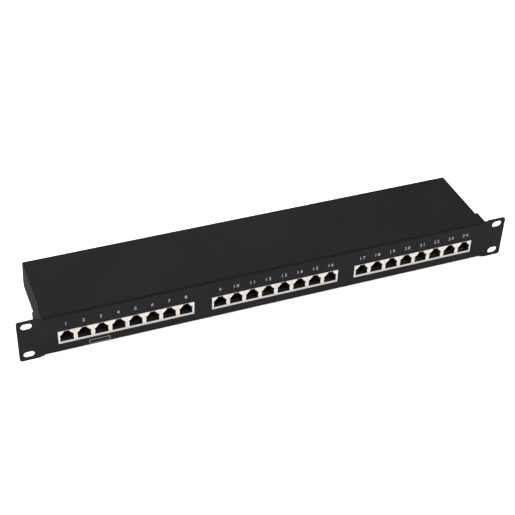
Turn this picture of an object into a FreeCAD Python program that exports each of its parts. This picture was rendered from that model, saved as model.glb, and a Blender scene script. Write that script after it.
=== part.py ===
import FreeCAD, Part
import math
import os

# A one-unit 19-inch rack patch panel with 24 shielded sockets in three groups of eight.
# A bent steel front frame carries the rack ears, and a steel tray behind it holds three
# circuit boards with the sockets and the punch-down wire blocks. A sheet cover hooks under
# the frame's top flange and is held by two screws at the back.
#
# Millimetres. +X is right as seen from the front, +Y is towards the back, +Z is up.
# The origin is the centre of the four rack slots, on the back face of the ears.

# ---- 19-inch rack standard ----
PANEL_WIDTH = 482.6
SLOT_SPACING_X = 465.1
SLOT_SPACING_Z = 31.75
SLOT_LENGTH = 10.3
SLOT_HEIGHT = 7.0

# ---- sheet metal ----
FRONT_SHEET = 1.5
TRAY_SHEET = 1.2
COVER_SHEET = 1.0
FRONT_BEND = 2.0
TRAY_BEND = 1.7
COVER_BEND = 1.4

# ---- front frame ----
EAR_HEIGHT = 44.3
EAR_CORNER = 2.5
EAR_STEP_START = 221.0
EAR_STEP_END = 223.5
FRAME_HALF_WIDTH = 219.2
FRAME_TOP = 21.5
FRAME_BOTTOM = -21.1
TOP_FLANGE_BACK = 14.8
BOTTOM_FLANGE_BACK = 44.5
GUSSET_KNEE = -8.0
FRAME_INSIDE = FRAME_HALF_WIDTH - FRONT_SHEET

# ---- cover ----
COVER_GAP = 0.3
COVER_FRONT = TOP_FLANGE_BACK + COVER_GAP
COVER_BACK = 82.3
COVER_HALF_WIDTH = FRAME_INSIDE - COVER_GAP
COVER_SIDE_DROP = 5.0
COVER_TAB_WIDTH = 14.0
COVER_TAB_BOTTOM = 3.0
HOOK_WIDTH = 20.0
HOOK_REACH = 8.0
HOOK_OFFSETS = (-165.0, -55.0, 55.0, 165.0)

# ---- tray ----
TRAY_HALF_WIDTH = COVER_HALF_WIDTH - COVER_SHEET - 0.2
TRAY_BOTTOM = FRAME_BOTTOM + FRONT_SHEET
TRAY_FLOOR = TRAY_BOTTOM + TRAY_SHEET
TRAY_TOP = FRAME_TOP - FRONT_SHEET - 0.1
TRAY_FRONT = 0.6
TRAY_BACK = 96.5
TRAY_SHOULDER = COVER_BACK + 1.0
TRAY_KNEE = (91.5, 11.0)
TRAY_HEEL = (TRAY_BACK, -14.0)
TRAY_FLOOR_BACK = 95.8

# ---- tongues at the back of the tray's floor, for cable ties ----
TONGUE_ROOT = 82.0
TONGUE_NECK_BACK = 89.5
TONGUE_NECK = 6.0
TONGUE_HEAD = 12.0
TONGUE_ZONE = 199.5

# ---- cover brackets and screws ----
BRACKET_TOP = 16.0
BRACKET_BOTTOM = 2.0
BRACKET_BACK = COVER_BACK - COVER_SHEET - 0.2
BRACKET_LEG = 15.0
SCREW_X = 207.0
SCREW_Z = 9.0
M3_RADIUS = 1.5
M3_CLEARANCE = 1.7
M3_HEAD_RADIUS = 2.9
M3_HEAD_HEIGHT = 2.0
M3_LENGTH = 8.0
NUT_BODY_RADIUS = 3.0
NUT_BODY_LENGTH = 2.8

# ---- sockets ----
GROUP_PITCH = 143.1
PORT_PITCH = 15.75
PORTS_PER_GROUP = 8
GROUPS = (-1, 0, 1)
WINDOW_WIDTH = 126.3
WINDOW_BOTTOM = -11.3
WINDOW_TOP = 2.9
SHIELD_WIDTH = 15.62
SHIELD_BOTTOM = WINDOW_BOTTOM + 0.1
SHIELD_TOP = WINDOW_TOP - 0.1
SHIELD_FRONT = -FRONT_SHEET - 0.2
SHIELD_BACK = 20.5
SHIELD_SHEET = 0.35
SPRING_NUB = 0.25
BODY_GAP = 0.05
CAVITY_BACK = 12.0
CAVITY_INSET = 0.15

# The socket's mouth, from its lower corner up to the latch notch: half width and height.
MOUTH_OUTLINE = (
    (6.2, -9.0),
    (6.2, -1.9),
    (4.7, -1.3),
    (3.9, 0.3),
    (2.7, 0.9),
    (2.7, SHIELD_TOP - SHIELD_SHEET),
)

# ---- socket contacts ----
CONTACTS = 8
CONTACT_PITCH = 1.02
CONTACT_GAUGE = 0.35
CONTACT_WIDTH = 0.45
CONTACT_SLACK = 0.2
CONTACT_LOW = -10.2
TAIL_ROWS = (15.0, 17.5)

# ---- circuit boards ----
BOARD_THICKNESS = 1.6
BOARD_TOP = SHIELD_BOTTOM
BOARD_BOTTOM = BOARD_TOP - BOARD_THICKNESS
BOARD_FRONT = 0.8
BOARD_BACK = 58.0
BOARD_WIDTH = 126.0
TAIL_END = BOARD_BOTTOM - 0.7
TAIL_HOLE = 0.45
STANDOFF_OFFSET = 55.1
STANDOFF_ROWS = (24.2, 53.5)
STANDOFF_FLATS = 5.0
M25_RADIUS = 1.2
M25_CLEARANCE = 1.35
M25_HEAD_RADIUS = 2.3
M25_HEAD_HEIGHT = 1.5
M25_LENGTH = 6.0

# ---- punch-down wire blocks ----
BLOCK_FRONT = 29.0
BLOCK_WIDTH = 13.4
BLOCK_BASE_HEIGHT = 8.4
BLOCK_HEIGHT = 14.0
RAIL_WIDTH = 3.4
WIRE_PITCH = 4.0
WIRES_PER_RAIL = 4
BLOCK_LENGTH = WIRE_PITCH * WIRES_PER_RAIL + 1.6
WIRE_SLOT = 1.0
WIRE_SLOT_DEPTH = 6.5
FORK_THICKNESS = 0.5
FORK_WIDTH = 2.4
FORK_SLIT = 0.4
FORK_SLIT_DEPTH = 5.0
FORK_TOP_GAP = 1.2
FORK_BOTTOM = 4.6
FORK_SLACK = 0.1

# ---- rivets and ground stud ----
RIVET_RADIUS = 1.6
RIVET_HEAD_RADIUS = 3.0
RIVET_HEAD_HEIGHT = 0.9
RIVET_TAIL_RADIUS = 2.2
RIVET_TAIL_HEIGHT = 1.5
RIVET_Y = 38.0
RIVET_OFFSETS = (-190.0, -114.0, -38.0, 38.0, 114.0, 190.0)
STUD_X = 205.0
STUD_Y = 88.0
STUD_RADIUS = 2.0
STUD_HEIGHT = 16.0
WASHER_RADIUS = 4.2
WASHER_THICKNESS = 0.8
WASHER_TEETH = 12
GROUND_NUT_FLATS = 7.0
GROUND_NUT_HEIGHT = 3.2

OVER = 1.0
SIDES = (-1, 1)


def point(x, y, z):
    return FreeCAD.Vector(x, y, z)


def block(x0, x1, y0, y1, z0, z1):
    """A box between two corners, with the X limits in either order."""
    low, high = min(x0, x1), max(x0, x1)
    return Part.makeBox(high - low, y1 - y0, z1 - z0, point(low, y0, z0))


def prism(corners, depth):
    """The solid that a closed outline sweeps along the vector depth."""
    outline = Part.makePolygon(list(corners) + [corners[0]])
    return Part.Face(outline).extrude(depth)


def rod(start, direction, radius, length):
    return Part.makeCylinder(radius, length, start, direction)


def hexagon(centre, flats, height):
    """An upright six-sided prism, centre being the middle of its bottom face."""
    radius = flats / math.sqrt(3)
    corners = [
        centre + point(radius * math.cos(turn), radius * math.sin(turn), 0)
        for turn in (math.radians(60 * step) for step in range(6))
    ]
    return prism(corners, point(0, 0, height))


def edges_at(shape, x=None, y=None, z=None):
    """The edges whose middle has the given coordinates."""
    near = 1e-4
    return [
        edge
        for edge in shape.Edges
        if (x is None or abs(edge.CenterOfMass.x - x) < near)
        and (y is None or abs(edge.CenterOfMass.y - y) < near)
        and (z is None or abs(edge.CenterOfMass.z - z) < near)
    ]


def oblong(centre, length, height, depth):
    """A slot with round ends, lying along X and cut along Y."""
    reach = (length - height) / 2
    slot = block(
        centre.x - reach, centre.x + reach, centre.y, centre.y + depth,
        centre.z - height / 2, centre.z + height / 2,
    )
    for side in SIDES:
        end = centre + point(side * reach, 0, 0)
        slot = slot.fuse(rod(end, point(0, 1, 0), height / 2, depth))
    return slot


def strip_outline(path, gauge):
    """The outline of a strip of even gauge whose middle follows a path of (y, z) points."""
    middle = [point(0, y, z) for y, z in path]
    upper, lower = [], []
    for index, spot in enumerate(middle):
        arriving = spot - middle[index - 1] if index else middle[1] - spot
        leaving = middle[index + 1] - spot if index < len(middle) - 1 else arriving
        normals = [point(0, -way.z, way.y).normalize() for way in (arriving, leaving)]
        mitre = (normals[0] + normals[1]) * (gauge / 2 / (1 + normals[0].dot(normals[1])))
        upper.append(spot + mitre)
        lower.insert(0, spot - mitre)
    return upper + lower


def strip(path, gauge, width):
    """A bent strip of the given gauge, centred on X = 0."""
    shifted = [corner - point(width / 2, 0, 0) for corner in strip_outline(path, gauge)]
    return prism(shifted, point(width, 0, 0))


def cross_recess(start, direction, across, size, depth):
    """The cross-shaped drive recess of a screw, sunk along direction from start."""
    along = direction * depth
    other = direction.cross(across)
    arms = []
    for long_way, short_way in ((across, other), (other, across)):
        reach = long_way * (size / 2)
        half = short_way * (size / 8)
        arms.append(prism([start + reach + half, start - reach + half,
                           start - reach - half, start + reach - half], along))
    return arms[0].fuse(arms[1])


def save(name, solids):
    shape = solids[0] if len(solids) == 1 else Part.makeCompound(solids)
    shape.exportStep("parts/" + name + ".step")


def group_centres():
    return [group * GROUP_PITCH for group in GROUPS]


def port_centres(group_x):
    first = group_x - (PORTS_PER_GROUP - 1) / 2 * PORT_PITCH
    return [first + PORT_PITCH * index for index in range(PORTS_PER_GROUP)]


# ---- sheet metal pieces ----

def ear(side):
    """One rack ear, from the frame's end to the panel's end, with a small step to its full height."""
    outer = side * PANEL_WIDTH / 2
    top = EAR_HEIGHT / 2
    outline = [
        (side * FRAME_HALF_WIDTH, FRAME_TOP), (side * EAR_STEP_START, FRAME_TOP),
        (side * EAR_STEP_END, top), (outer, top), (outer, -top),
        (side * EAR_STEP_END, -top), (side * EAR_STEP_START, FRAME_BOTTOM),
        (side * FRAME_HALF_WIDTH, FRAME_BOTTOM),
    ]
    plate = prism([point(x, -FRONT_SHEET, z) for x, z in outline], point(0, FRONT_SHEET, 0))
    corners = edges_at(plate, x=outer, z=top) + edges_at(plate, x=outer, z=-top)
    plate = plate.makeFillet(EAR_CORNER, corners)
    for level in SIDES:
        centre = point(side * SLOT_SPACING_X / 2, -FRONT_SHEET - OVER, level * SLOT_SPACING_Z / 2)
        plate = plate.cut(oblong(centre, SLOT_LENGTH, SLOT_HEIGHT, FRONT_SHEET + 2 * OVER))
    return plate


def front_channel():
    """The face with its top flange, its bottom flange and the side gussets folded from one sheet."""
    outer = block(-FRAME_HALF_WIDTH, FRAME_HALF_WIDTH, -FRONT_SHEET, BOTTOM_FLANGE_BACK,
                  FRAME_BOTTOM, FRAME_TOP)
    folds = edges_at(outer, y=-FRONT_SHEET, z=FRAME_TOP) + edges_at(outer, y=-FRONT_SHEET, z=FRAME_BOTTOM)
    outer = outer.makeFillet(FRONT_BEND, folds)
    inner_top = FRAME_TOP - FRONT_SHEET
    inner_back = BOTTOM_FLANGE_BACK + OVER
    inner = block(-FRAME_INSIDE, FRAME_INSIDE, 0, inner_back, TRAY_BOTTOM, inner_top)
    inner_folds = edges_at(inner, y=0, z=inner_top) + edges_at(inner, y=0, z=TRAY_BOTTOM)
    inner = inner.makeFillet(FRONT_BEND - FRONT_SHEET, inner_folds)
    above_gusset = [(TOP_FLANGE_BACK, FRAME_TOP + OVER), (TOP_FLANGE_BACK, inner_top),
                    (BOTTOM_FLANGE_BACK, GUSSET_KNEE), (inner_back, GUSSET_KNEE),
                    (inner_back, FRAME_TOP + OVER)]
    trim = prism([point(-PANEL_WIDTH / 2, y, z) for y, z in above_gusset], point(PANEL_WIDTH, 0, 0))
    return outer.cut(inner).cut(trim)


def front_panel():
    panel = front_channel()
    for side in SIDES:
        panel = panel.fuse(ear(side))
    for group_x in group_centres():
        panel = panel.cut(block(group_x - WINDOW_WIDTH / 2, group_x + WINDOW_WIDTH / 2,
                                -FRONT_SHEET - OVER, OVER, WINDOW_BOTTOM, WINDOW_TOP))
    for x in RIVET_OFFSETS:
        panel = panel.cut(rivet_hole(x))
    return panel.removeSplitter()


def rear_tray():
    tray = block(-TRAY_HALF_WIDTH, TRAY_HALF_WIDTH, TRAY_FRONT, TRAY_BACK, TRAY_BOTTOM, FRAME_TOP)
    folds = [edge for side in SIDES for edge in edges_at(tray, x=side * TRAY_HALF_WIDTH, z=TRAY_BOTTOM)]
    tray = tray.makeFillet(TRAY_BEND, folds)
    inside_x = TRAY_HALF_WIDTH - TRAY_SHEET
    hollow = block(-inside_x, inside_x, TRAY_FRONT - OVER, TRAY_BACK + OVER, TRAY_FLOOR, FRAME_TOP + OVER)
    inner_folds = [edge for side in SIDES for edge in edges_at(hollow, x=side * inside_x, z=TRAY_FLOOR)]
    hollow = hollow.makeFillet(TRAY_BEND - TRAY_SHEET, inner_folds)
    wall_outline = [
        (TRAY_FRONT, TRAY_BOTTOM), (TRAY_FRONT, TRAY_TOP), (TRAY_SHOULDER, TRAY_TOP),
        TRAY_KNEE, TRAY_HEEL, (TRAY_FLOOR_BACK, TRAY_BOTTOM),
    ]
    keep = prism([point(-PANEL_WIDTH / 2, y, z) for y, z in wall_outline], point(PANEL_WIDTH, 0, 0))
    tray = tray.cut(hollow).common(keep).cut(tongue_gaps())
    for x in RIVET_OFFSETS:
        tray = tray.cut(rivet_hole(x))
    return tray.removeSplitter()


def tongue_gaps():
    """What is cut from the back of the tray's floor to leave a T-shaped tongue for each pair of sockets."""
    low, high = TRAY_BOTTOM - OVER, TRAY_FLOOR + OVER
    gaps = block(-TONGUE_ZONE, TONGUE_ZONE, TONGUE_ROOT, TRAY_BACK + OVER, low, high)
    for group_x in group_centres():
        for pair in (-3, -1, 1, 3):
            x = group_x + pair * PORT_PITCH
            neck = block(x - TONGUE_NECK / 2, x + TONGUE_NECK / 2, TONGUE_ROOT - OVER, TRAY_BACK + OVER,
                         low, high)
            head = block(x - TONGUE_HEAD / 2, x + TONGUE_HEAD / 2, TONGUE_NECK_BACK, TRAY_BACK + OVER,
                         low, high)
            gaps = gaps.cut(neck).cut(head)
    return gaps


def top_cover():
    """The cover, with flanges outside the tray's walls, a back lip, two screw tabs and front hooks."""
    underside = FRAME_TOP - COVER_SHEET
    inside_x = COVER_HALF_WIDTH - COVER_SHEET
    skin = block(-COVER_HALF_WIDTH, COVER_HALF_WIDTH, COVER_FRONT, COVER_BACK, COVER_TAB_BOTTOM, FRAME_TOP)
    folds = edges_at(skin, y=COVER_BACK, z=FRAME_TOP)
    for side in SIDES:
        folds = folds + edges_at(skin, x=side * COVER_HALF_WIDTH, z=FRAME_TOP)
    skin = skin.makeFillet(COVER_BEND, folds)
    hollow = block(-inside_x, inside_x, COVER_FRONT - OVER, COVER_BACK - COVER_SHEET,
                   COVER_TAB_BOTTOM - OVER, underside)
    cover = skin.cut(hollow)
    lip_bottom = FRAME_TOP - COVER_SIDE_DROP
    tab_inner = SCREW_X - COVER_TAB_WIDTH / 2
    tab_outer = SCREW_X + COVER_TAB_WIDTH / 2
    below = COVER_TAB_BOTTOM - OVER
    cover = cover.cut(block(-tab_inner, tab_inner, COVER_FRONT - OVER, COVER_BACK + OVER, below, lip_bottom))
    for side in SIDES:
        end = side * (COVER_HALF_WIDTH + OVER)
        wall_gap = block(side * tab_outer, side * inside_x, COVER_FRONT, COVER_BACK + OVER, below, underside)
        flange = block(side * inside_x, end, COVER_FRONT - OVER, COVER_BACK + OVER, below, lip_bottom)
        hole = rod(point(side * SCREW_X, COVER_BACK - OVER - COVER_SHEET, SCREW_Z), point(0, 1, 0),
                   M3_CLEARANCE, COVER_SHEET + 2 * OVER)
        cover = cover.cut(wall_gap).cut(flange).cut(hole)
    for x in HOOK_OFFSETS:
        cover = cover.fuse(cover_hook(x))
    return cover.removeSplitter()


def cover_hook(x):
    """A tongue of the cover's sheet, joggled down so that it slides in under the frame's top flange."""
    top_middle = FRAME_TOP - COVER_SHEET / 2
    low_middle = FRAME_TOP - FRONT_SHEET - COVER_GAP - COVER_SHEET / 2
    path = [
        (COVER_FRONT - HOOK_REACH, low_middle), (COVER_FRONT - COVER_GAP, low_middle),
        (COVER_FRONT + 2 * COVER_SHEET, top_middle), (COVER_FRONT + 4 * COVER_SHEET, top_middle),
    ]
    return strip(path, COVER_SHEET, HOOK_WIDTH).translated(point(x, 0, 0))


def cover_bracket(side):
    """An angle spot-welded inside the tray's wall, whose back leg takes the cover's screw."""
    wall = TRAY_HALF_WIDTH - TRAY_SHEET
    inner = SCREW_X - COVER_TAB_WIDTH / 2
    leg = block(side * inner, side * wall, BRACKET_BACK - TRAY_SHEET, BRACKET_BACK,
                BRACKET_BOTTOM, BRACKET_TOP)
    foot = block(side * (wall - TRAY_SHEET), side * wall, BRACKET_BACK - BRACKET_LEG, BRACKET_BACK,
                 BRACKET_BOTTOM, BRACKET_TOP)
    hole = rod(point(side * SCREW_X, BRACKET_BACK - TRAY_SHEET - OVER, SCREW_Z), point(0, 1, 0),
               M3_CLEARANCE, TRAY_SHEET + 2 * OVER)
    bracket = leg.fuse(foot).cut(hole).removeSplitter()
    fold = edges_at(bracket, x=side * wall, y=BRACKET_BACK)
    return bracket.makeFillet(TRAY_SHEET, fold)


# ---- fasteners ----

def cover_screw(side):
    """A pan-head M3 screw that points forward through the cover's tab and the bracket."""
    head_seat = COVER_BACK + BODY_GAP
    seat = point(side * SCREW_X, head_seat, SCREW_Z)
    back = point(0, 1, 0)
    head = rod(seat, back, M3_HEAD_RADIUS, M3_HEAD_HEIGHT)
    head = head.makeFillet(M3_HEAD_HEIGHT / 2, edges_at(head, y=head_seat + M3_HEAD_HEIGHT))
    shank = rod(seat, -back, M3_RADIUS, M3_LENGTH)
    recess = cross_recess(seat + back * M3_HEAD_HEIGHT, -back, point(1, 0, 0),
                          M3_HEAD_RADIUS, M3_HEAD_HEIGHT * 0.7)
    return head.fuse(shank).cut(recess)


def cover_nut(side):
    """A round clinch nut on the front of the bracket's back leg."""
    face = BRACKET_BACK - TRAY_SHEET
    start = point(side * SCREW_X, face - NUT_BODY_LENGTH, SCREW_Z)
    back = point(0, 1, 0)
    body = rod(start, back, NUT_BODY_RADIUS, NUT_BODY_LENGTH)
    return body.cut(rod(start, back, M3_RADIUS + BODY_GAP, NUT_BODY_LENGTH))


def rivet_hole(x):
    start = point(x, RIVET_Y, FRAME_BOTTOM - OVER)
    return rod(start, point(0, 0, 1), RIVET_RADIUS, FRONT_SHEET + TRAY_SHEET + 2 * OVER)


def frame_rivet(x):
    """A blind rivet that joins the frame's bottom flange to the tray, with its domed head below."""
    up = point(0, 0, 1)
    under = point(x, RIVET_Y, FRAME_BOTTOM)
    head = rod(under - up * RIVET_HEAD_HEIGHT, up, RIVET_HEAD_RADIUS, RIVET_HEAD_HEIGHT)
    head = head.makeFillet(RIVET_HEAD_HEIGHT * 0.8, edges_at(head, z=FRAME_BOTTOM - RIVET_HEAD_HEIGHT))
    shank = rod(under, up, RIVET_RADIUS, FRONT_SHEET + TRAY_SHEET)
    tail = rod(point(x, RIVET_Y, TRAY_FLOOR), up, RIVET_TAIL_RADIUS, RIVET_TAIL_HEIGHT)
    return head.fuse(shank).fuse(tail)


def standoff_spots():
    return [
        (group_x + side * STANDOFF_OFFSET, y)
        for group_x in group_centres()
        for side in SIDES
        for y in STANDOFF_ROWS
    ]


def standoff(x, y):
    height = BOARD_BOTTOM - TRAY_FLOOR
    foot = point(x, y, TRAY_FLOOR)
    return hexagon(foot, STANDOFF_FLATS, height).cut(rod(foot, point(0, 0, 1), M25_RADIUS + BODY_GAP, height))


def board_screw(x, y):
    up = point(0, 0, 1)
    seat = point(x, y, BOARD_TOP)
    head = rod(seat, up, M25_HEAD_RADIUS, M25_HEAD_HEIGHT)
    head = head.makeFillet(M25_HEAD_HEIGHT / 2, edges_at(head, z=BOARD_TOP + M25_HEAD_HEIGHT))
    shank = rod(seat, -up, M25_RADIUS, M25_LENGTH)
    recess = cross_recess(seat + up * M25_HEAD_HEIGHT, -up, point(1, 0, 0),
                          M25_HEAD_RADIUS, M25_HEAD_HEIGHT * 0.6)
    return head.fuse(shank).cut(recess)


def ground_stud():
    stud = rod(point(STUD_X, STUD_Y, TRAY_FLOOR), point(0, 0, 1), STUD_RADIUS, STUD_HEIGHT)
    return stud.makeChamfer(STUD_RADIUS / 4, edges_at(stud, z=TRAY_FLOOR + STUD_HEIGHT))


def ground_washer():
    """A toothed lock washer, with notches all round its outside."""
    up = point(0, 0, 1)
    centre = point(STUD_X, STUD_Y, TRAY_FLOOR)
    ring = rod(centre, up, WASHER_RADIUS, WASHER_THICKNESS)
    ring = ring.cut(rod(centre, up, STUD_RADIUS + 2 * BODY_GAP, WASHER_THICKNESS))
    notch_radius = WASHER_RADIUS / WASHER_TEETH * 1.4
    for tooth in range(WASHER_TEETH):
        turn = 2 * math.pi * tooth / WASHER_TEETH
        spot = centre + point(WASHER_RADIUS * math.cos(turn), WASHER_RADIUS * math.sin(turn), 0)
        ring = ring.cut(rod(spot, up, notch_radius, WASHER_THICKNESS))
    return ring


def ground_nut():
    seat = point(STUD_X, STUD_Y, TRAY_FLOOR + WASHER_THICKNESS)
    bore = rod(seat, point(0, 0, 1), STUD_RADIUS + BODY_GAP, GROUND_NUT_HEIGHT)
    return hexagon(seat, GROUND_NUT_FLATS, GROUND_NUT_HEIGHT).cut(bore)


# ---- sockets ----

def mouth(inset, front, back):
    """The plug-shaped space of the socket at X = 0, narrowed all round by inset."""
    half = [(x - inset, z - inset) for x, z in MOUTH_OUTLINE]
    half[0] = (half[0][0], half[0][1] + 2 * inset)
    other_half = [(-x, z) for x, z in reversed(half)]
    return prism([point(x, front, z) for x, z in half + other_half], point(0, back - front, 0))


def socket_shield():
    """The plated can over one socket: top, sides, back and front, open below."""
    half = SHIELD_WIDTH / 2
    can = block(-half, half, SHIELD_FRONT, SHIELD_BACK, SHIELD_BOTTOM, SHIELD_TOP)
    hollow = block(-half + SHIELD_SHEET, half - SHIELD_SHEET, SHIELD_FRONT + SHIELD_SHEET,
                   SHIELD_BACK - SHIELD_SHEET, SHIELD_BOTTOM - OVER, SHIELD_TOP - SHIELD_SHEET)
    can = can.cut(hollow).cut(mouth(0, SHIELD_FRONT - OVER, SHIELD_FRONT + SHIELD_SHEET + BODY_GAP))
    mouth_half = MOUTH_OUTLINE[0][0]
    spring_bottom = (MOUTH_OUTLINE[0][1] + MOUTH_OUTLINE[1][1]) / 2 - 1.1
    for side in SIDES:
        nub = rod(point(side * mouth_half, SHIELD_FRONT + SPRING_NUB, spring_bottom), point(0, 0, 1),
                  SPRING_NUB, 2.2)
        outside = block(side * mouth_half, side * (mouth_half + OVER), SHIELD_FRONT + SHIELD_SHEET,
                        SHIELD_FRONT + OVER, SHIELD_BOTTOM, SHIELD_TOP)
        can = can.fuse(nub.cut(outside))
    return can.removeSplitter()


def contact_path(row):
    """One spring contact, from its free end in the mouth, round the front and back to its tail."""
    return [
        (11.2, -6.95), (9.2, -6.95), (3.0, -9.05), (2.4, -9.7), (3.0, CONTACT_LOW),
        (TAIL_ROWS[row], CONTACT_LOW), (TAIL_ROWS[row], TAIL_END),
    ]


def contact_offsets():
    return [(index - (CONTACTS - 1) / 2) * CONTACT_PITCH for index in range(CONTACTS)]


def socket_contacts():
    return [
        strip(contact_path(index % 2), CONTACT_GAUGE, CONTACT_WIDTH).translated(point(x, 0, 0))
        for index, x in enumerate(contact_offsets())
    ]


def socket_body():
    """The moulded insert inside the shield, with the plug's cavity and a groove for each contact."""
    half = SHIELD_WIDTH / 2 - SHIELD_SHEET - BODY_GAP
    front = SHIELD_FRONT + SHIELD_SHEET + 2 * SPRING_NUB
    body = block(-half, half, front, SHIELD_BACK - SHIELD_SHEET - BODY_GAP,
                 BOARD_TOP, SHIELD_TOP - SHIELD_SHEET - BODY_GAP)
    body = body.cut(mouth(CAVITY_INSET, SHIELD_FRONT, CAVITY_BACK))
    for index, x in enumerate(contact_offsets()):
        groove = strip(contact_path(index % 2), CONTACT_GAUGE + CONTACT_SLACK, CONTACT_WIDTH + CONTACT_SLACK)
        body = body.cut(groove.translated(point(x, 0, 0)))
    return body.removeSplitter()


# ---- circuit boards and wire blocks ----

def wire_spots():
    """Where the wire block at X = 0 has its forks: the rail's side and the place along Y."""
    first = BLOCK_FRONT + BLOCK_LENGTH / 2 - (WIRES_PER_RAIL - 1) / 2 * WIRE_PITCH
    return [
        (side * (BLOCK_WIDTH - RAIL_WIDTH) / 2, first + WIRE_PITCH * index)
        for side in SIDES
        for index in range(WIRES_PER_RAIL)
    ]


def wire_fork(x, y, slack):
    """The forked blade that cuts into one wire, with its tail through the board; slack makes its pocket."""
    thick = FORK_THICKNESS / 2 + slack
    wide = FORK_WIDTH / 2 + slack
    bottom = BOARD_TOP + FORK_BOTTOM - slack
    top = BOARD_TOP + BLOCK_HEIGHT - FORK_TOP_GAP + slack
    blade = block(x - thick, x + thick, y - wide, y + wide, bottom, top)
    tail = block(x - thick, x + thick, y - thick, y + thick, TAIL_END, bottom)
    return blade.fuse(tail).removeSplitter()


def slit_fork(x, y):
    fork = wire_fork(x, y, 0)
    top = BOARD_TOP + BLOCK_HEIGHT - FORK_TOP_GAP
    slit = block(x - OVER, x + OVER, y - FORK_SLIT / 2, y + FORK_SLIT / 2, top - FORK_SLIT_DEPTH, top + OVER)
    return fork.cut(slit)


def wire_block():
    """A punch-down block with two toothed rails and a channel between them for the cable's pairs."""
    half = BLOCK_WIDTH / 2
    back = BLOCK_FRONT + BLOCK_LENGTH
    top = BOARD_TOP + BLOCK_HEIGHT
    body = block(-half, half, BLOCK_FRONT, back, BOARD_TOP, top)
    channel_half = half - RAIL_WIDTH
    body = body.cut(block(-channel_half, channel_half, BLOCK_FRONT - OVER, back + OVER,
                          BOARD_TOP + BLOCK_BASE_HEIGHT, top + OVER))
    for x, y in wire_spots():
        rail = RAIL_WIDTH / 2 + BODY_GAP
        slot = block(x - rail, x + rail, y - WIRE_SLOT / 2, y + WIRE_SLOT / 2,
                     top - WIRE_SLOT_DEPTH, top + OVER)
        lead_in = prism([point(x - rail, y - WIRE_SLOT, top), point(x - rail, y, top - 2 * WIRE_SLOT),
                         point(x - rail, y + WIRE_SLOT, top)], point(2 * rail, 0, 0))
        body = body.cut(slot).cut(lead_in).cut(wire_fork(x, y, FORK_SLACK))
    return body.removeSplitter()


def circuit_board(group_x):
    board = block(group_x - BOARD_WIDTH / 2, group_x + BOARD_WIDTH / 2, BOARD_FRONT, BOARD_BACK,
                  BOARD_BOTTOM, BOARD_TOP)
    spots = []
    for port_x in port_centres(group_x):
        spots += [(port_x + x, TAIL_ROWS[index % 2], TAIL_HOLE) for index, x in enumerate(contact_offsets())]
        spots += [(port_x + x, y, TAIL_HOLE) for x, y in wire_spots()]
    for side in SIDES:
        spots += [(group_x + side * STANDOFF_OFFSET, y, M25_CLEARANCE) for y in STANDOFF_ROWS]
    start_z = BOARD_BOTTOM - OVER
    depth = BOARD_THICKNESS + 2 * OVER
    holes = [rod(point(x, y, start_z), point(0, 0, 1), radius, depth) for x, y, radius in spots]
    return board.cut(Part.makeCompound(holes))


def at_ports(pieces, centres):
    """A copy of every piece at every given port."""
    return [piece.translated(point(x, 0, 0)) for x in centres for piece in pieces]


def main():
    os.makedirs("parts", exist_ok=True)
    save("front_panel", [front_panel()])
    save("rear_tray", [rear_tray()])
    save("top_cover", [top_cover()])
    for side, word in zip(SIDES, ("left", "right")):
        save("cover_bracket_" + word, [cover_bracket(side)])
        save("cover_screw_" + word, [cover_screw(side)])
    save("cover_nuts", [cover_nut(side) for side in SIDES])
    save("frame_rivets", [frame_rivet(x) for x in RIVET_OFFSETS])
    save("board_standoffs", [standoff(x, y) for x, y in standoff_spots()])
    save("board_screws", [board_screw(x, y) for x, y in standoff_spots()])
    save("ground_stud", [ground_stud()])
    save("ground_washer", [ground_washer()])
    save("ground_nut", [ground_nut()])
    shield = socket_shield()
    body = socket_body()
    contacts = socket_contacts()
    wires = wire_block()
    forks = [slit_fork(x, y) for x, y in wire_spots()]
    first_port = 1
    for group_x in group_centres():
        centres = port_centres(group_x)
        ports = "{}_to_{}".format(first_port, first_port + PORTS_PER_GROUP - 1)
        save("circuit_board_" + ports, [circuit_board(group_x)])
        save("jack_bodies_" + ports, at_ports([body], centres))
        save("jack_contacts_" + ports, at_ports(contacts, centres))
        save("wire_blocks_" + ports, at_ports([wires], centres))
        save("wire_forks_" + ports, at_ports(forks, centres))
        for index, x in enumerate(centres):
            save("jack_shield_{:02d}".format(first_port + index), [shield.translated(point(x, 0, 0))])
        first_port += PORTS_PER_GROUP


main()
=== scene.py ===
import math

import bmesh
import bpy
from mathutils import Matrix, Vector


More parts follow.
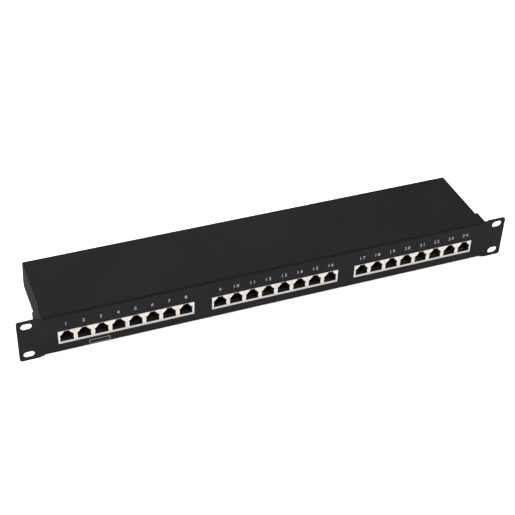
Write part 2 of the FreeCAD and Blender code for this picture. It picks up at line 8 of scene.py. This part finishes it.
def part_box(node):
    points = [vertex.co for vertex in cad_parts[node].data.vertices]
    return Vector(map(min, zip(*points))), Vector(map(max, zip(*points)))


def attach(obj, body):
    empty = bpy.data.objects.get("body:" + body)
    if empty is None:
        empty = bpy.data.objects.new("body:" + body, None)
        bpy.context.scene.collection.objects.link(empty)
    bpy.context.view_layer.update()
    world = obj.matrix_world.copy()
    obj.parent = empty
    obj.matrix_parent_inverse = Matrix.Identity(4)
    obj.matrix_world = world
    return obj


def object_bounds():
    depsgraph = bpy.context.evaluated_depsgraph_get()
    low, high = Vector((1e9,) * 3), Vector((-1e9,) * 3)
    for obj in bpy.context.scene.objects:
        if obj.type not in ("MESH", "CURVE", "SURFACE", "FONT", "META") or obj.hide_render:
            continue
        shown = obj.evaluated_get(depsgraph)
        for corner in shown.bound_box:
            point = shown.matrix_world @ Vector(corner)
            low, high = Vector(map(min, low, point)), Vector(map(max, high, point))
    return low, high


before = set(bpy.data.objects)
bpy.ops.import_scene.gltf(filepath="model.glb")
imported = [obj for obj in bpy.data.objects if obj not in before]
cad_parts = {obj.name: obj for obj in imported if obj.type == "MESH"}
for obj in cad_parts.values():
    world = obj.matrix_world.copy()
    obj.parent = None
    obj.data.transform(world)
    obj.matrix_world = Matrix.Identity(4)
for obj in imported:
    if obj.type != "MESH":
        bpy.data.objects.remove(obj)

# The looks of a one-unit rack patch panel: black powder-coated steel, 24 nickel-plated socket shields,
# printed port numbers, and the boards and wire blocks inside. Metres, in the CAD model's frame.

CAD_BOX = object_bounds()
MM = 0.001
GROUPS = ("1_to_8", "9_to_16", "17_to_24")
PORTS_PER_GROUP = 8
PORTS = range(1, PORTS_PER_GROUP * len(GROUPS) + 1)
CHASSIS = "chassis"

# ---- printed face ----
PRINT_THICKNESS = 0.04 * MM
NUMBER_HEIGHT = 3.5 * MM
NUMBER_MIDDLE = 10.4 * MM
NUMBER_SPACING = 1.4
NUMBER_CURVE_STEPS = 3
MARK_WIDTH = 19.0 * MM
MARK_HEIGHT = 4.6 * MM
MARK_LINE = 0.45 * MM
MARK_MIDDLE = Vector((-169.0 * MM, 0, -16.8 * MM))
WHITE_INK = (0.36, 0.385, 0.43)
PALE_INK = (0.24, 0.24, 0.25)
THIN_INK = 0.72

# ---- labels in the wire blocks ----
CHANNEL_HEIGHT = 8.4 * MM
LABEL_HALF_WIDTH = 2.9 * MM
LABEL_MARGIN = 0.5 * MM
LABEL_THICKNESS = 0.12 * MM
CELL_NEAR = 0.5 * MM
CELL_FAR = 2.6 * MM
CELL_THICKNESS = 0.04 * MM
PAPER_COLOR = (0.82, 0.82, 0.80)
PAIR_COLORS = (
    ("blue", (0.03, 0.12, 0.50)),
    ("orange", (0.80, 0.22, 0.02)),
    ("green", (0.03, 0.32, 0.08)),
    ("brown", (0.16, 0.07, 0.03)),
)
PAIRS = len(PAIR_COLORS)

# ---- meshes: the rounded edges of the CAD nodes, and the sides of a box by its corners ----
WELD_REACH = 0.002 * MM
BEVEL_STEPS = 2
BEVEL_ANGLE = math.radians(35)
BOX_FACES = ((0, 1, 3, 2), (4, 6, 7, 5), (0, 4, 5, 1), (2, 3, 7, 6), (0, 2, 6, 4), (1, 5, 7, 3))

# ---- places of the colours among a mix node's sockets, whose names repeat ----
MIX_FIRST_COLOR = 6
MIX_SECOND_COLOR = 7
MIX_RESULT_COLOR = 2

# ---- the range that most of a noise's values lie in ----
NOISE_LOW = 0.3
NOISE_HIGH = 0.7

# ---- masks: samples on edges, and the cosines of the normal's turn where each mask starts and ends ----
EDGE_SAMPLES = 6
EDGE_FROM = 0.98
EDGE_TO = 0.80
FOLD_SHADE_FROM = 0.75
FOLD_SHADE_TO = 0.92

# ---- tones of the coat and of the plate ----
COAT_DARK = (0.0080, 0.0080, 0.0081)
COAT_LIGHT = (0.0105, 0.0105, 0.0106)
COAT_SPECKLE = (0.014, 0.014, 0.014)
# The rubbed tone is partly edge wear and partly a painted highlight along the edges and seams.
COAT_RUBBED_AND_HIGHLIT = (0.036, 0.036, 0.035)
# The fold tone is a painted shade: the coat darkened where the face turns from forward to up.
COAT_FOLD_SHADE = (0.0062, 0.0062, 0.0062)
NICKEL_CLEAN = (0.56, 0.51, 0.46)
NICKEL_SMUDGED = (0.48, 0.435, 0.39)
# The dull tone is a painted shade, darkening the shields towards their lower strip, between the two heights
# below.
NICKEL_LOWER_SHADE = (0.40, 0.37, 0.36)
# The edge tone is a painted highlight: lighter nickel on every edge.
NICKEL_EDGE_HIGHLIGHT = (0.64, 0.595, 0.55)
LOWER_SHADE_FROM = -8.8 * MM
LOWER_SHADE_TO = -9.6 * MM

# ---- plastics: darker tone, lighter tone and roughness ----
SOCKET_BLACK = ((0.008, 0.008, 0.009), (0.013, 0.013, 0.014), 0.5)
BLOCK_CREAM = ((0.62, 0.61, 0.57), (0.70, 0.69, 0.66), 0.42)

# ---- metals: tone, second tone, lowest and highest roughness, and size of the machining lines ----
ZINC = ((0.62, 0.64, 0.68), (0.70, 0.68, 0.58), 0.25, 0.42, 0.8 * MM)
OXIDE = ((0.045, 0.045, 0.05), (0.07, 0.068, 0.065), 0.34, 0.5, 0.6 * MM)
BRASS = ((0.70, 0.50, 0.22), (0.80, 0.62, 0.32), 0.2, 0.36, 0.7 * MM)
GOLD = ((0.34, 0.26, 0.15), (0.42, 0.33, 0.21), 0.2, 0.34, 0.5 * MM)
TIN = ((0.72, 0.72, 0.71), (0.60, 0.60, 0.60), 0.28, 0.45, 0.5 * MM)

# ---- circuit boards ----
SOLDER_DARK = (0.008, 0.085, 0.036)
SOLDER_LIGHT = (0.013, 0.115, 0.05)
SOLDER_TRACE = (0.025, 0.19, 0.085)
TRACE_PITCH = 6.4 * MM

# ---- studio ----
FLOOR_REACH = 6.0
FLOOR_DROP = 0.05 * MM
FLOOR_CORNERS = ((-1, -1), (1, -1), (1, 1), (-1, 1))
FLOOR_DARK = (0.92, 0.92, 0.92)
FLOOR_LIGHT = (0.94, 0.94, 0.94)
FLOOR_GLOW = 0.6
WORLD_COLOR = (0.95, 0.97, 1.0)
WORLD_STRENGTH = 0.62

# ---- softboxes: name, place, target, size and power of each ----
SOFT_LIGHTS = (
    ("key_light", (0.0, -0.1, 2.2), (0, 0, 0), 1.6, 28),
    ("fill_light", (1.6, -1.2, 1.6), (0, 0, 0), 1.6, 4),
    ("back_light", (0.4, 2.2, 1.5), (0, 0, 0), 1.6, 12),
    ("left_end_light", (-0.55, -0.5, 0.4), (-0.25, 0, 0), 0.3, 2.2),
    ("right_end_light", (0.60, -0.4, 0.45), (0.25, 0, 0), 0.3, 1.3),
)

# ---- camera ----
CAMERA_AT = Vector((-0.34715, -0.78248, 0.69936))
CAMERA_HEADING = math.radians(22.737)
CAMERA_DIP = math.radians(37.975)
CAMERA_ROLL = math.radians(2.37)
CAMERA_LENS = 83.2
CAMERA_SENSOR = 36.0
CAMERA_CLIP = 0.01


# ---- material building blocks ----

def start_material(name, color, roughness, metallic=0.0):
    """A new node material, with its tree and its principled shader."""
    material = bpy.data.materials.new(name)
    material.use_nodes = True
    tree = material.node_tree
    shader = tree.nodes["Principled BSDF"]
    shader.inputs["Base Color"].default_value = (*color, 1)
    shader.inputs["Roughness"].default_value = roughness
    shader.inputs["Metallic"].default_value = metallic
    return material, tree, shader


def place(tree, stretch=(1, 1, 1)):
    """Coordinates in metres on the object, stretched by the given factors."""
    where = tree.nodes.new("ShaderNodeTexCoord")
    mapping = tree.nodes.new("ShaderNodeMapping")
    mapping.inputs["Scale"].default_value = stretch
    tree.links.new(where.outputs["Object"], mapping.inputs["Vector"])
    return mapping.outputs["Vector"]


def noise(tree, vector, size, detail=3.0, rough=0.5):
    """A noise whose lumps are about size metres across, from 0 to 1."""
    texture = tree.nodes.new("ShaderNodeTexNoise")
    texture.inputs["Scale"].default_value = 1 / size
    texture.inputs["Detail"].default_value = detail
    texture.inputs["Roughness"].default_value = rough
    tree.links.new(vector, texture.inputs["Vector"])
    return texture.outputs["Fac"]


def remap(tree, value, low, high, to_low=0.0, to_high=1.0):
    """Value scaled from low..high to to_low..to_high, and held inside them."""
    scale = tree.nodes.new("ShaderNodeMapRange")
    scale.inputs["From Min"].default_value = low
    scale.inputs["From Max"].default_value = high
    scale.inputs["To Min"].default_value = to_low
    scale.inputs["To Max"].default_value = to_high
    tree.links.new(value, scale.inputs["Value"])
    return scale.outputs["Result"]


def multiply(tree, first, second):
    """The product of two nodes' outputs."""
    made = tree.nodes.new("ShaderNodeMath")
    made.operation = "MULTIPLY"
    tree.links.new(first, made.inputs[0])
    tree.links.new(second, made.inputs[1])
    return made.outputs["Value"]


def mix_colors(tree, share, first, second):
    """First where share is 0 and second where it is 1; each is a colour or a node's output."""
    mix = tree.nodes.new("ShaderNodeMix")
    mix.data_type = "RGBA"
    tree.links.new(share, mix.inputs["Factor"])
    for index, value in ((MIX_FIRST_COLOR, first), (MIX_SECOND_COLOR, second)):
        if isinstance(value, tuple):
            mix.inputs[index].default_value = (*value, 1)
        else:
            tree.links.new(value, mix.inputs[index])
    return mix.outputs[MIX_RESULT_COLOR]


def edge_mask(tree, radius):
    """About 1 on the edges of the metal and 0 on flat faces, from how far rounding would turn the normal."""
    bevel = tree.nodes.new("ShaderNodeBevel")
    bevel.samples = EDGE_SAMPLES
    bevel.inputs["Radius"].default_value = radius
    geometry = tree.nodes.new("ShaderNodeNewGeometry")
    dot = tree.nodes.new("ShaderNodeVectorMath")
    dot.operation = "DOT_PRODUCT"
    tree.links.new(bevel.outputs["Normal"], dot.inputs[0])
    tree.links.new(geometry.outputs["True Normal"], dot.inputs[1])
    return remap(tree, dot.outputs["Value"], EDGE_FROM, EDGE_TO)


def fold_mask(tree):
    """1 on the rounded fold between a face that points forward and one that points up, and 0 elsewhere: where
    the painted shade of the fold is laid.
    """
    where = tree.nodes.new("ShaderNodeTexCoord")
    dot = tree.nodes.new("ShaderNodeVectorMath")
    dot.operation = "DOT_PRODUCT"
    half_way = math.sqrt(0.5)
    dot.inputs[1].default_value = (0, -half_way, half_way)
    tree.links.new(where.outputs["Normal"], dot.inputs[0])
    return remap(tree, dot.outputs["Value"], FOLD_SHADE_FROM, FOLD_SHADE_TO)


def height_on_face(tree):
    """The height on the object, in metres."""
    split = tree.nodes.new("ShaderNodeSeparateXYZ")
    tree.links.new(place(tree), split.inputs["Vector"])
    return split.outputs["Z"]


def bump(tree, shader, height, strength, distance):
    """Raises the shader's surface where height is 1, by distance metres at full strength."""
    made = tree.nodes.new("ShaderNodeBump")
    made.inputs["Strength"].default_value = strength
    made.inputs["Distance"].default_value = distance
    tree.links.new(height, made.inputs["Height"])
    tree.links.new(made.outputs["Normal"], shader.inputs["Normal"])


def vary_roughness(tree, shader, pattern, low, high):
    """Lets the shader's roughness follow a noise, from low to high."""
    tree.links.new(remap(tree, pattern, NOISE_LOW, NOISE_HIGH, low, high), shader.inputs["Roughness"])


# ---- materials ----

def powder_coat():
    """Satin black powder coat: fine pebbled texture, slight cloudiness, edges lightened partly by rub wear
    and partly as a painted highlight, and a painted shade on the folds.
    """
    material, tree, shader = start_material("powder_coat_black", (0.013, 0.013, 0.013), roughness=0.56)
    shader.inputs["Specular IOR Level"].default_value = 0.0
    shader.inputs["Coat Weight"].default_value = 0.12
    shader.inputs["Coat Roughness"].default_value = 0.42
    vector = place(tree)
    grain = noise(tree, vector, size=0.9 * MM, detail=2.0, rough=0.6)
    clouds = noise(tree, vector, size=60 * MM, detail=3.0, rough=0.6)
    blotches = noise(tree, vector, size=7 * MM, detail=4.0)
    patches = remap(tree, blotches, low=0.42, high=0.62, to_low=0.35, to_high=1.0)
    # Lighter edges in random patches: partly rub wear, partly a painted highlight.
    rub_and_highlight = multiply(tree, edge_mask(tree, radius=0.6 * MM), patches)
    even = mix_colors(tree, remap(tree, clouds, NOISE_LOW, NOISE_HIGH), COAT_DARK, COAT_LIGHT)
    speckles = remap(tree, grain, low=0.35, high=0.8, to_low=0.0, to_high=0.5)
    speckled = mix_colors(tree, speckles, even, COAT_SPECKLE)
    # Edges lightened: rub wear and painted highlight together.
    rubbed_and_highlit = mix_colors(tree, rub_and_highlight, speckled, COAT_RUBBED_AND_HIGHLIT)
    # Painted shade on the forward-and-up folds.
    fold_shaded = mix_colors(tree, fold_mask(tree), rubbed_and_highlit, COAT_FOLD_SHADE)
    tree.links.new(fold_shaded, shader.inputs["Base Color"])
    vary_roughness(tree, shader, grain, low=0.50, high=0.64)
    bump(tree, shader, grain, strength=0.3, distance=0.05 * MM)
    return material


def nickel_plate():
    """Stamped sheet with satin nickel plate: rolling lines, smudges, a painted highlight on the edges and a
    painted shade on the lower strip.
    """
    material, tree, shader = start_material("nickel_plate", (0.52, 0.475, 0.43), roughness=0.34, metallic=1.0)
    vector = place(tree)
    lines = noise(tree, place(tree, stretch=(1, 1, 12)), size=1.6 * MM, detail=4.0)
    smudge = noise(tree, vector, size=5 * MM, detail=3.0)
    worn = mix_colors(tree, remap(tree, smudge, low=0.35, high=0.7), NICKEL_CLEAN, NICKEL_SMUDGED)
    # Painted shade: the nickel darker towards the bottom of the shield.
    lower_shade = remap(tree, height_on_face(tree), LOWER_SHADE_FROM, LOWER_SHADE_TO)
    shaded = mix_colors(tree, lower_shade, worn, NICKEL_LOWER_SHADE)
    # Painted highlight on the shield's edges.
    edge_highlit = mix_colors(tree, edge_mask(tree, radius=0.12 * MM), shaded, NICKEL_EDGE_HIGHLIGHT)
    tree.links.new(edge_highlit, shader.inputs["Base Color"])
    vary_roughness(tree, shader, lines, low=0.28, high=0.46)
    bump(tree, shader, lines, strength=0.12, distance=0.02 * MM)
    return material


def moulded_plastic(name, dark, light, roughness):
    """Injection-moulded plastic with a fine eroded texture."""
    material, tree, shader = start_material(name, dark, roughness)
    vector = place(tree)
    grain = noise(tree, vector, size=0.4 * MM, detail=2.0, rough=0.6)
    clouds = noise(tree, vector, size=9 * MM, detail=3.0)
    cloudy = mix_colors(tree, remap(tree, clouds, NOISE_LOW, NOISE_HIGH), dark, light)
    tree.links.new(cloudy, shader.inputs["Base Color"])
    vary_roughness(tree, shader, grain, low=roughness - 0.06, high=roughness + 0.08)
    bump(tree, shader, grain, strength=0.2, distance=0.02 * MM)
    return material


def plated_metal(name, base, tint, rough_low, rough_high, line_size):
    """Turned or plated metal with fine machining lines and an uneven, slightly tinted plate."""
    material, tree, shader = start_material(name, base, rough_low, metallic=1.0)
    lines = noise(tree, place(tree, stretch=(1, 1, 9)), size=line_size, detail=5.0)
    patches = noise(tree, place(tree), size=3 * MM, detail=3.0)
    tinted = mix_colors(tree, remap(tree, patches, low=0.35, high=0.7), base, tint)
    tree.links.new(tinted, shader.inputs["Base Color"])
    vary_roughness(tree, shader, lines, rough_low, rough_high)
    bump(tree, shader, lines, strength=0.15, distance=0.02 * MM)
    return material


def solder_mask():
    """Green solder mask, with the copper traces under it showing as raised, paler lines."""
    material, tree, shader = start_material("solder_mask_green", (0.010, 0.10, 0.045), roughness=0.28)
    shader.inputs["Coat Weight"].default_value = 0.4
    shader.inputs["Coat Roughness"].default_value = 0.12
    vector = place(tree)
    wave = tree.nodes.new("ShaderNodeTexWave")
    wave.bands_direction = "X"
    wave.wave_profile = "SAW"
    wave.inputs["Scale"].default_value = 1 / TRACE_PITCH
    wave.inputs["Distortion"].default_value = 1.4
    wave.inputs["Detail"].default_value = 0.0
    wave.inputs["Detail Scale"].default_value = 0.2
    tree.links.new(vector, wave.inputs["Vector"])
    trace = remap(tree, wave.outputs["Fac"], low=0.55, high=0.62)
    weave = noise(tree, vector, size=0.5 * MM, detail=2.0)
    mask = mix_colors(tree, remap(tree, weave, NOISE_LOW, NOISE_HIGH), SOLDER_DARK, SOLDER_LIGHT)
    tree.links.new(mix_colors(tree, trace, mask, SOLDER_TRACE), shader.inputs["Base Color"])
    vary_roughness(tree, shader, weave, low=0.22, high=0.36)
    bump(tree, shader, trace, strength=0.3, distance=0.04 * MM)
    return material


def printed_ink(name, color):
    """Screen-printed ink: a little uneven, so that the coat shows through in specks."""
    material, tree, shader = start_material(name, color, roughness=0.5)
    vector = place(tree)
    specks = noise(tree, vector, size=0.25 * MM, detail=2.0)
    thin = tuple(THIN_INK * part for part in color)
    covered = mix_colors(tree, remap(tree, specks, low=0.35, high=0.62), thin, color)
    tree.links.new(covered, shader.inputs["Base Color"])
    vary_roughness(tree, shader, specks, low=0.42, high=0.6)
    bump(tree, shader, specks, strength=0.2, distance=0.01 * MM)
    return material


def pale_floor():
    """A plain pale studio floor with a barely visible tooth and a faint glow, so that shadows stay soft."""
    material, tree, shader = start_material("studio_floor", (0.93, 0.93, 0.93), roughness=0.7)
    shader.inputs["Specular IOR Level"].default_value = 0.0
    shader.inputs["Emission Color"].default_value = (1, 1, 1, 1)
    shader.inputs["Emission Strength"].default_value = FLOOR_GLOW
    tooth = noise(tree, place(tree), size=4 * MM, detail=2.0)
    uneven = mix_colors(tree, remap(tree, tooth, NOISE_LOW, NOISE_HIGH), FLOOR_DARK, FLOOR_LIGHT)
    tree.links.new(uneven, shader.inputs["Base Color"])
    return material


# ---- finishing the CAD nodes ----

def shield(number):
    """The name of a port's shield."""
    return "jack_shield_{:02d}".format(number)


def finish_node(name, material, edge=None):
    """Gives a CAD node its material, and small rounded edges where edge, their width, is given."""
    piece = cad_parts[name]
    piece.data.materials.clear()
    piece.data.materials.append(material)
    if edge:
        weld = piece.modifiers.new("weld", "WELD")
        weld.merge_threshold = WELD_REACH
        bevel = piece.modifiers.new("bevel", "BEVEL")
        bevel.width = edge
        bevel.segments = BEVEL_STEPS
        bevel.limit_method = "ANGLE"
        bevel.angle_limit = BEVEL_ANGLE
        bevel.harden_normals = True
        bevel.use_clamp_overlap = True


def finish_all_nodes():
    """Gives every CAD node its material, with rounded edges on all but the thin or flat ones."""
    coat = powder_coat()
    nickel = nickel_plate()
    black = moulded_plastic("socket_plastic", *SOCKET_BLACK)
    cream = moulded_plastic("block_plastic", *BLOCK_CREAM)
    zinc = plated_metal("zinc_plate", *ZINC)
    oxide = plated_metal("black_oxide", *OXIDE)
    brass = plated_metal("turned_brass", *BRASS)
    gold = plated_metal("gold_flash", *GOLD)
    tin = plated_metal("tin_plate", *TIN)
    mask = solder_mask()
    for name in ("front_panel", "rear_tray", "top_cover"):
        finish_node(name, coat, edge=0.22 * MM)
    for side in ("left", "right"):
        finish_node("cover_bracket_" + side, coat, edge=0.2 * MM)
        finish_node("cover_screw_" + side, oxide, edge=0.12 * MM)
    for name in ("cover_nuts", "frame_rivets", "board_screws", "ground_washer", "ground_nut", "ground_stud"):
        finish_node(name, zinc, edge=0.1 * MM)
    finish_node("board_standoffs", brass, edge=0.12 * MM)
    for group in GROUPS:
        finish_node("circuit_board_" + group, mask)
        finish_node("jack_bodies_" + group, black, edge=0.1 * MM)
        finish_node("jack_contacts_" + group, gold)
        finish_node("wire_blocks_" + group, cream, edge=0.12 * MM)
        finish_node("wire_forks_" + group, tin)
    for number in PORTS:
        finish_node(shield(number), nickel, edge=0.08 * MM)


# ---- small mesh helpers ----

def mesh_piece(name, build, materials, body):
    """A new mesh object filled by build(bmesh), riding on a CAD body."""
    mesh = bpy.data.meshes.new(name)
    shape = bmesh.new()
    build(shape)
    bmesh.ops.recalc_face_normals(shape, faces=shape.faces)
    shape.to_mesh(mesh)
    shape.free()
    for material in materials:
        mesh.materials.append(material)
    piece = bpy.data.objects.new(name, mesh)
    bpy.context.scene.collection.objects.link(piece)
    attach(piece, body)


def add_slab(shape, low, high, material_index=0):
    """A closed box between two corners."""
    corners = [
        shape.verts.new((x, y, z))
        for x in (low[0], high[0])
        for y in (low[1], high[1])
        for z in (low[2], high[2])
    ]
    for face in BOX_FACES:
        made = shape.faces.new([corners[index] for index in face])
        made.material_index = material_index


def middle(node):
    """The middle of a CAD node's box."""
    low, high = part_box(node)
    return (low + high) / 2


# ---- printing on the front ----

def text_mesh(text, name):
    """A short text as a thin solid, lying flat."""
    words = bpy.data.curves.new("port_number", "FONT")
    words.body = text
    words.align_x = "CENTER"
    words.align_y = "CENTER"
    words.extrude = PRINT_THICKNESS / 2
    words.resolution_u = NUMBER_CURVE_STEPS
    words.space_character = NUMBER_SPACING
    holder = bpy.data.objects.new("port_number", words)
    bpy.context.scene.collection.objects.link(holder)
    bpy.context.view_layer.update()
    mesh = bpy.data.meshes.new_from_object(holder.evaluated_get(bpy.context.evaluated_depsgraph_get()))
    mesh.name = name
    bpy.data.objects.remove(holder)
    return mesh


def stand_on_face(mesh, x):
    """Scales a flat text to the height of a number, and stands it on the front at x."""
    across = [vertex.co.x for vertex in mesh.vertices]
    up = [vertex.co.y for vertex in mesh.vertices]
    size = NUMBER_HEIGHT / (max(up) - min(up))
    face_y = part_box("front_panel")[0].y
    upright = Matrix.Rotation(math.radians(90), 4, "X")
    centred = Matrix.Translation((-(min(across) + max(across)) / 2, -(max(up) + min(up)) / 2, 0))
    on_face = Matrix.Translation((x, face_y - PRINT_THICKNESS / 2, NUMBER_MIDDLE))
    mesh.transform(on_face @ upright @ Matrix.Diagonal((size, size, 1, 1)) @ centred)


def printed_number(number, ink):
    """A port's number, printed on the face above it."""
    name = "printed_number_{:02d}".format(number)
    mesh = text_mesh(str(number), name)
    stand_on_face(mesh, middle(shield(number)).x)
    mesh.materials.clear()
    mesh.materials.append(ink)
    piece = bpy.data.objects.new(name, mesh)
    bpy.context.scene.collection.objects.link(piece)
    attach(piece, CHASSIS)


def printed_mark(ink):
    """A plain empty label frame, printed under the second and third sockets."""
    face_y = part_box("front_panel")[0].y
    front, back = face_y - PRINT_THICKNESS, face_y

    def build(shape):
        left, right = MARK_MIDDLE.x - MARK_WIDTH / 2, MARK_MIDDLE.x + MARK_WIDTH / 2
        low, high = MARK_MIDDLE.z - MARK_HEIGHT / 2, MARK_MIDDLE.z + MARK_HEIGHT / 2
        add_slab(shape, (left, front, low), (right, back, low + MARK_LINE))
        add_slab(shape, (left, front, high - MARK_LINE), (right, back, high))
        add_slab(shape, (left, front, low + MARK_LINE), (left + MARK_LINE, back, high - MARK_LINE))
        add_slab(shape, (right - MARK_LINE, front, low + MARK_LINE), (right, back, high - MARK_LINE))

    mesh_piece("printed_mark", build, [ink], CHASSIS)


def print_front():
    """The port numbers and the empty label frame."""
    ink = printed_ink("white_ink", WHITE_INK)
    for number in PORTS:
        printed_number(number, ink)
    printed_mark(printed_ink("pale_ink", PALE_INK))


# ---- colour labels in the wire blocks ----

def add_label(shape, x, front, back, floor_z):
    """A paper strip from front to back at x, with a row of coloured cells on either side of its middle."""
    paper_top = floor_z + LABEL_THICKNESS
    add_slab(shape, (x - LABEL_HALF_WIDTH, front + LABEL_MARGIN, floor_z),
             (x + LABEL_HALF_WIDTH, back - LABEL_MARGIN, paper_top))
    cell_length = (back - front) / PAIRS
    reach = cell_length / 2 - LABEL_MARGIN
    for side in (-1, 1):
        near, far = sorted((x + side * CELL_NEAR, x + side * CELL_FAR))
        for pair in range(PAIRS):
            y = front + cell_length * (pair + 0.5)
            ink_top = paper_top + CELL_THICKNESS
            add_slab(shape, (near, y - reach, paper_top), (far, y + reach, ink_top), 1 + pair)


def wire_labels():
    """A printed label in the channel of every wire block, with a cell in each pair's colour."""
    paper = printed_ink("label_paper", PAPER_COLOR)
    inks = [printed_ink("label_" + name, color) for name, color in PAIR_COLORS]
    for index, group in enumerate(GROUPS):
        low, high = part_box("wire_blocks_" + group)
        first = index * PORTS_PER_GROUP

        def build(shape):
            for number in PORTS[first:first + PORTS_PER_GROUP]:
                x = middle(shield(number)).x
                add_label(shape, x, low.y, high.y, low.z + CHANNEL_HEIGHT)

        mesh_piece("wire_labels_" + group, build, [paper] + inks, CHASSIS)


# ---- studio ----

def make_floor():
    """A large flat floor just under the panel."""
    level = CAD_BOX[0].z - FLOOR_DROP
    mesh = bpy.data.meshes.new("floor")
    shape = bmesh.new()
    shape.faces.new([shape.verts.new((x * FLOOR_REACH, y * FLOOR_REACH, level)) for x, y in FLOOR_CORNERS])
    shape.to_mesh(mesh)
    shape.free()
    mesh.materials.append(pale_floor())
    floor = bpy.data.objects.new("floor", mesh)
    bpy.context.scene.collection.objects.link(floor)


def soft_light(name, place_at, target, size, power):
    """A square softbox at place_at that faces target."""
    lamp = bpy.data.lights.new(name, "AREA")
    lamp.shape = "SQUARE"
    lamp.size = size
    lamp.energy = power
    box = bpy.data.objects.new(name, lamp)
    box.location = place_at
    box.rotation_euler = (Vector(target) - Vector(place_at)).to_track_quat("-Z", "Y").to_euler()
    bpy.context.scene.collection.objects.link(box)


def make_lights():
    """A pale even surrounding and the softboxes."""
    world = bpy.data.worlds.new("studio")
    world.use_nodes = True
    background = world.node_tree.nodes["Background"]
    background.inputs["Color"].default_value = (*WORLD_COLOR, 1)
    background.inputs["Strength"].default_value = WORLD_STRENGTH
    bpy.context.scene.world = world
    for settings in SOFT_LIGHTS:
        soft_light(*settings)


def make_camera():
    """The camera, turned by its heading, its dip below level and its roll."""
    lens = bpy.data.cameras.new("camera")
    lens.lens = CAMERA_LENS
    lens.sensor_width = CAMERA_SENSOR
    lens.clip_start = CAMERA_CLIP
    camera = bpy.data.objects.new("camera", lens)
    turn = Matrix.Rotation(-CAMERA_HEADING, 4, "Z") @ Matrix.Rotation(math.radians(90) - CAMERA_DIP, 4, "X")
    camera.matrix_world = Matrix.Translation(CAMERA_AT) @ turn @ Matrix.Rotation(CAMERA_ROLL, 4, "Z")
    bpy.context.scene.collection.objects.link(camera)
    bpy.context.scene.camera = camera


def set_view():
    """A plain display curve, so that the pale floor comes out near white."""
    view = bpy.context.scene.view_settings
    view.view_transform = "Standard"
    view.look = "None"


finish_all_nodes()
print_front()
wire_labels()
make_floor()
make_lights()
make_camera()
set_view()
